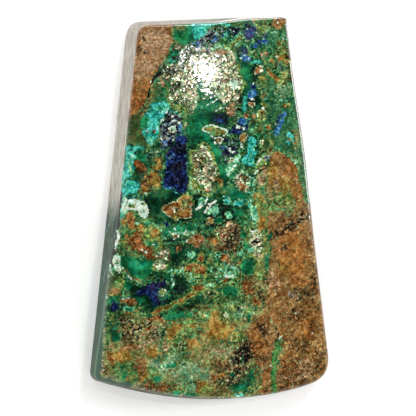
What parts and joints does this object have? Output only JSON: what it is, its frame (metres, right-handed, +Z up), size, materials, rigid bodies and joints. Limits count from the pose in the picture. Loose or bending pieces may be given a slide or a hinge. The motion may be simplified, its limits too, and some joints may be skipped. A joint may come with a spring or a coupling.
{
  "type": "polished azurite malachite keystone cabochon",
  "caption": "Loose polished azurite malachite stone, a keystone slab with steep sides, a bowed wide end and a low domed glossy face, made to lie on its flat back.",
  "frame": {"origin": "middle of the bounding box on the flat back", "axes": "+Z up out of the domed face, +Y along the stone towards its narrow end, +X towards the side with the broader rolled edge"},
  "size_m": [0.0236, 0.038, 0.0052],
  "materials": {
    "polished_azurite_malachite": "glossy polish over a mottled mix of green malachite, turquoise chrysocolla, dark blue azurite and brown iron-stained rock"
  },
  "bodies": {
    "root": {"azurite_malachite_stone": "polished_azurite_malachite"}
  },
  "joints": []
}
